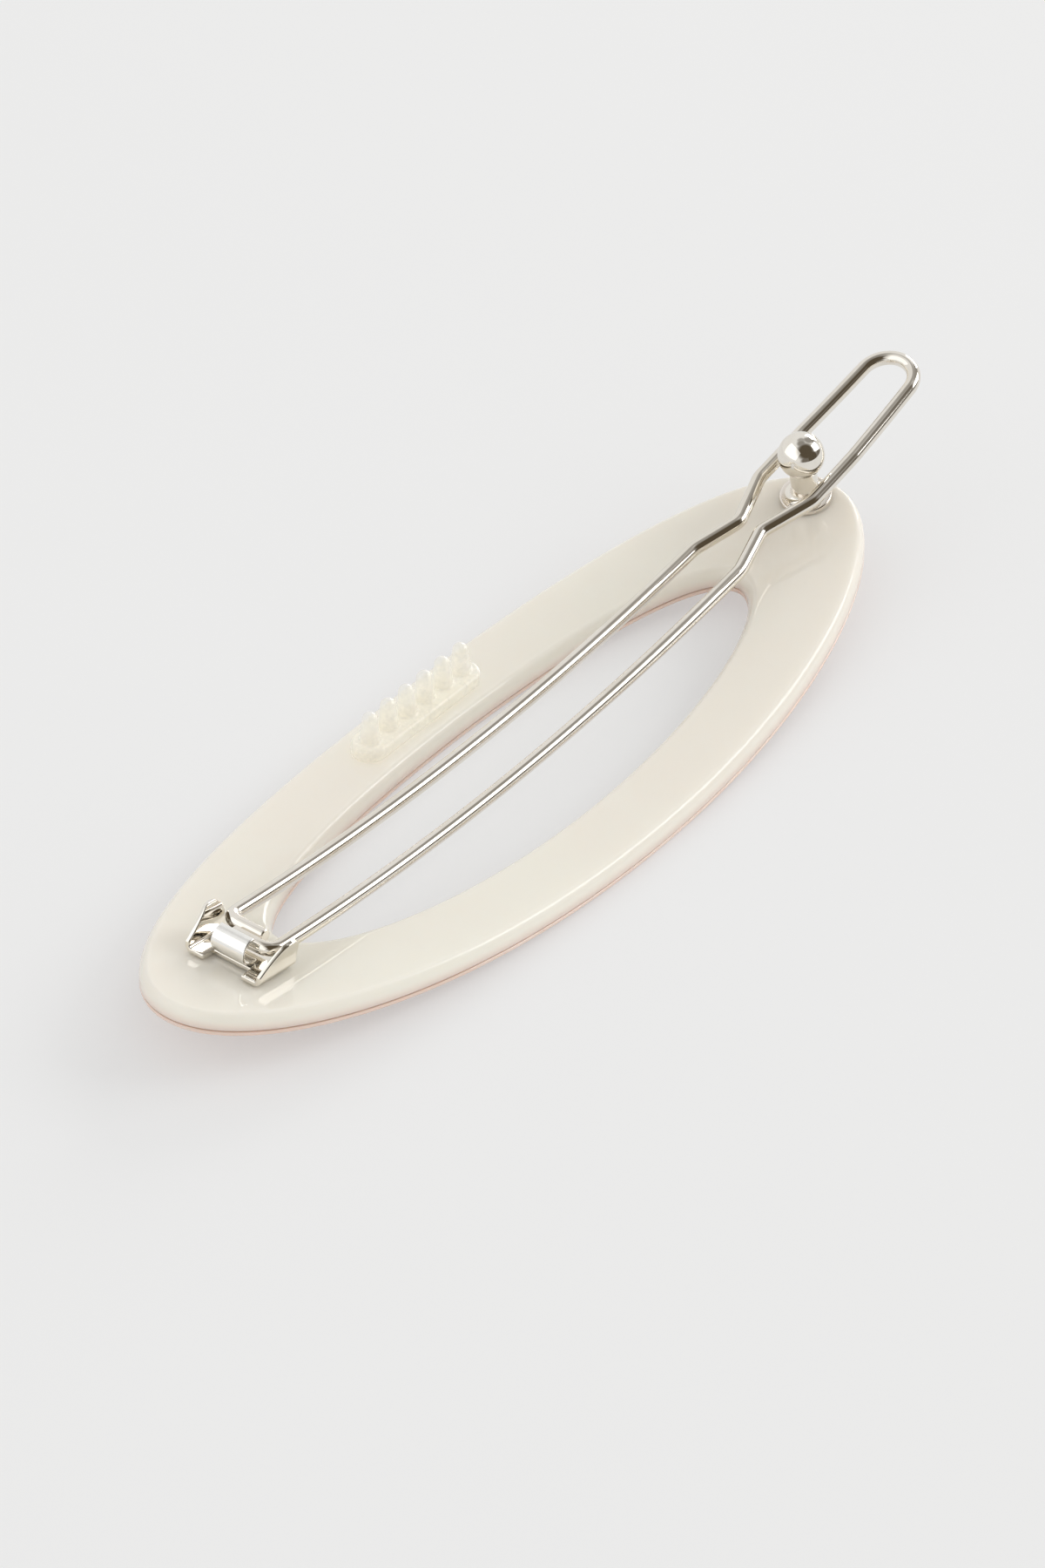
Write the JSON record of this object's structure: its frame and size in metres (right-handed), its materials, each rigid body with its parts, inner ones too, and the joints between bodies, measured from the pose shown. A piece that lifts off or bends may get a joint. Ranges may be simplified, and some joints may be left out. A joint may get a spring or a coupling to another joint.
{
  "type": "hair clip",
  "caption": "Arched oval hair clip with an open centre: a bent wire loop on a sprung hinge swings shut and catches under a ball post, beside a short clear grip comb.",
  "frame": {"origin": "middle of the closed clip's outline, on the surface that it lies on, arched front down", "axes": "+X from the hinge to the ball post, +Y towards the arm with the grip comb, +Z away from the front"},
  "size_m": [0.097, 0.028, 0.0126],
  "materials": {
    "ivory_acetate": "polished ivory acetate",
    "rose_acetate": "polished rose acetate",
    "nickel_plate": "bright nickel plate on stamped and turned metal",
    "spring_steel": "bright spring steel strip",
    "nickel_wire": "bright nickel plate on drawn wire",
    "clear_resin": "clear, slightly yellow soft resin"
  },
  "bodies": {
    "root": {"back_layer": "ivory_acetate", "face_layer": "rose_acetate", "hinge_bracket": "nickel_plate", "spring_leaf": "spring_steel", "ball_stud": "nickel_plate", "post_plate": "nickel_plate", "grip_comb": "clear_resin"},
    "wire": {"wire_loop": "nickel_wire"}
  },
  "joints": [
    {"name": "wire_hinge", "type": "hinge", "parent": "root", "child": "wire", "pos_m": [-0.03854, 0, 0.00641], "axis": [0, -1, 0], "range_deg": [0, 75]}
  ]
}
